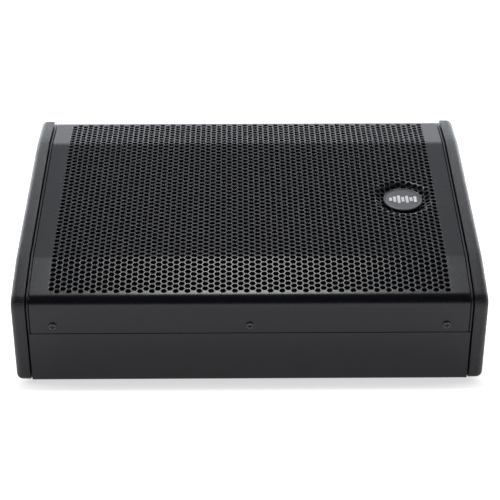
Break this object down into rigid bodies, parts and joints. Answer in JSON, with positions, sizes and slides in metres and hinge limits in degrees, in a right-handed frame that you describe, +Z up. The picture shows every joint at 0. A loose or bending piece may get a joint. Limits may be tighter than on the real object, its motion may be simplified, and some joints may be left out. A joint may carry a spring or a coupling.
{
  "type": "stage monitor wedge",
  "caption": "Low-profile stage monitor wedge: folded perforated steel grille on a plywood cabinet with moulded end caps, coaxial driver and rear amplifier panel.",
  "frame": {"origin": "centre of the overall footprint, on the surface that the feet stand on", "axes": "+X to the right as a performer faces the grille, +Y from the front lip to the back, +Z up"},
  "size_m": [0.4872, 0.408, 0.2695],
  "materials": {
    "cabinet_paint": "textured black polyurethane paint over plywood",
    "cap_plastic": "coarse moulded grain",
    "grille_steel": "satin black powder coat",
    "foam": "open-cell foam",
    "black_steel": "black oxide",
    "badge_metal": "spun rings, dark anodised",
    "rubber": "matt",
    "black_plastic": "satin moulded",
    "cast_metal": "black painted casting",
    "bare_steel": "zinc plated",
    "aluminium": "black anodised plate",
    "cone_paper": "pressed paper pulp",
    "spider_cloth": "impregnated cloth",
    "copper": "enamelled wire",
    "circuit_board": "solder mask",
    "lens": "clear moulded"
  },
  "bodies": {
    "cabinet": {"side_panel_left": "cabinet_paint", "side_panel_right": "cabinet_paint", "front_panel": "cabinet_paint", "bottom_panel": "cabinet_paint", "rear_top_panel": "cabinet_paint", "rear_panel": "cabinet_paint", "baffle_board": "cabinet_paint", "end_cap_left": "cap_plastic", "end_cap_right": "cap_plastic", "grille": "grille_steel", "grille_foam": "foam", "grille_screw_left": "black_steel", "grille_screw_centre": "black_steel", "grille_screw_right": "black_steel", "cap_screw_left_1": "black_steel", "cap_screw_left_2": "black_steel", "cap_screw_left_3": "black_steel", "cap_screw_right_1": "black_steel", "cap_screw_right_2": "black_steel", "cap_screw_right_3": "black_steel", "top_plate": "black_steel", "magnet_yoke": "black_steel", "hf_housing": "black_steel", "badge": "badge_metal", "foot_front_left": "rubber", "foot_front_right": "rubber", "foot_rear_left": "rubber", "foot_rear_right": "rubber", "cap_spacer_left": "rubber", "cap_spacer_right": "rubber", "driver_surround": "rubber", "driver_gasket": "rubber", "speaker_lead": "rubber", "port_tube_left": "black_plastic", "port_tube_right": "black_plastic", "handle_cup_left": "black_plastic", "handle_cup_right": "black_plastic", "hf_horn": "black_plastic", "hf_cover": "black_plastic", "input_socket": "black_plastic", "link_socket": "black_plastic", "mains_inlet": "black_plastic", "rocker_frame": "black_plastic", "driver_basket": "cast_metal", "heat_sink": "cast_metal", "woofer_magnet": "bare_steel", "amp_tub": "bare_steel", "amp_plate": "aluminium", "driver_spider": "spider_cloth", "supply_transformer": "copper", "amp_board": "circuit_board", "status_lights": "lens"},
    "cone_assembly": {"driver_cone": "cone_paper", "voice_coil": "copper"},
    "hf_diaphragm": {"hf_diaphragm": "aluminium"},
    "level_knob": {"level_knob": "rubber"},
    "power_rocker": {"power_rocker": "black_plastic"},
    "line_button": {"line_button": "black_plastic"},
    "filter_button": {"filter_button": "black_plastic"},
    "input_latch": {"input_latch": "bare_steel"}
  },
  "joints": [
    {"name": "cone_travel", "type": "slide", "parent": "cabinet", "child": "cone_assembly", "axis": [0, -0.5, 0.866], "range_m": [-0.004, 0.004], "stiffness_N_per_m": 12000},
    {"name": "hf_diaphragm_travel", "type": "slide", "parent": "cabinet", "child": "hf_diaphragm", "axis": [0, -0.5, 0.866], "range_m": [-0.0003, 0.0003], "stiffness_N_per_m": 20000},
    {"name": "level_turn", "type": "hinge", "parent": "cabinet", "child": "level_knob", "pos_m": [-0.112, 0.18032, 0.12033], "axis": [0, 1, 0], "range_deg": [-150, 150]},
    {"name": "power_rock", "type": "hinge", "parent": "cabinet", "child": "power_rocker", "pos_m": [-0.092, 0.17732, 0.05033], "axis": [1, 0, 0], "range_deg": [-18, 0]},
    {"name": "line_press", "type": "slide", "parent": "cabinet", "child": "line_button", "axis": [0, -1, 0], "range_m": [0, 0.0025], "stiffness_N_per_m": 400},
    {"name": "filter_press", "type": "slide", "parent": "cabinet", "child": "filter_button", "axis": [0, -1, 0], "range_m": [0, 0.0025], "stiffness_N_per_m": 400},
    {"name": "latch_press", "type": "slide", "parent": "cabinet", "child": "input_latch", "axis": [0, -1, 0], "range_m": [0, 0.002], "stiffness_N_per_m": 600}
  ]
}
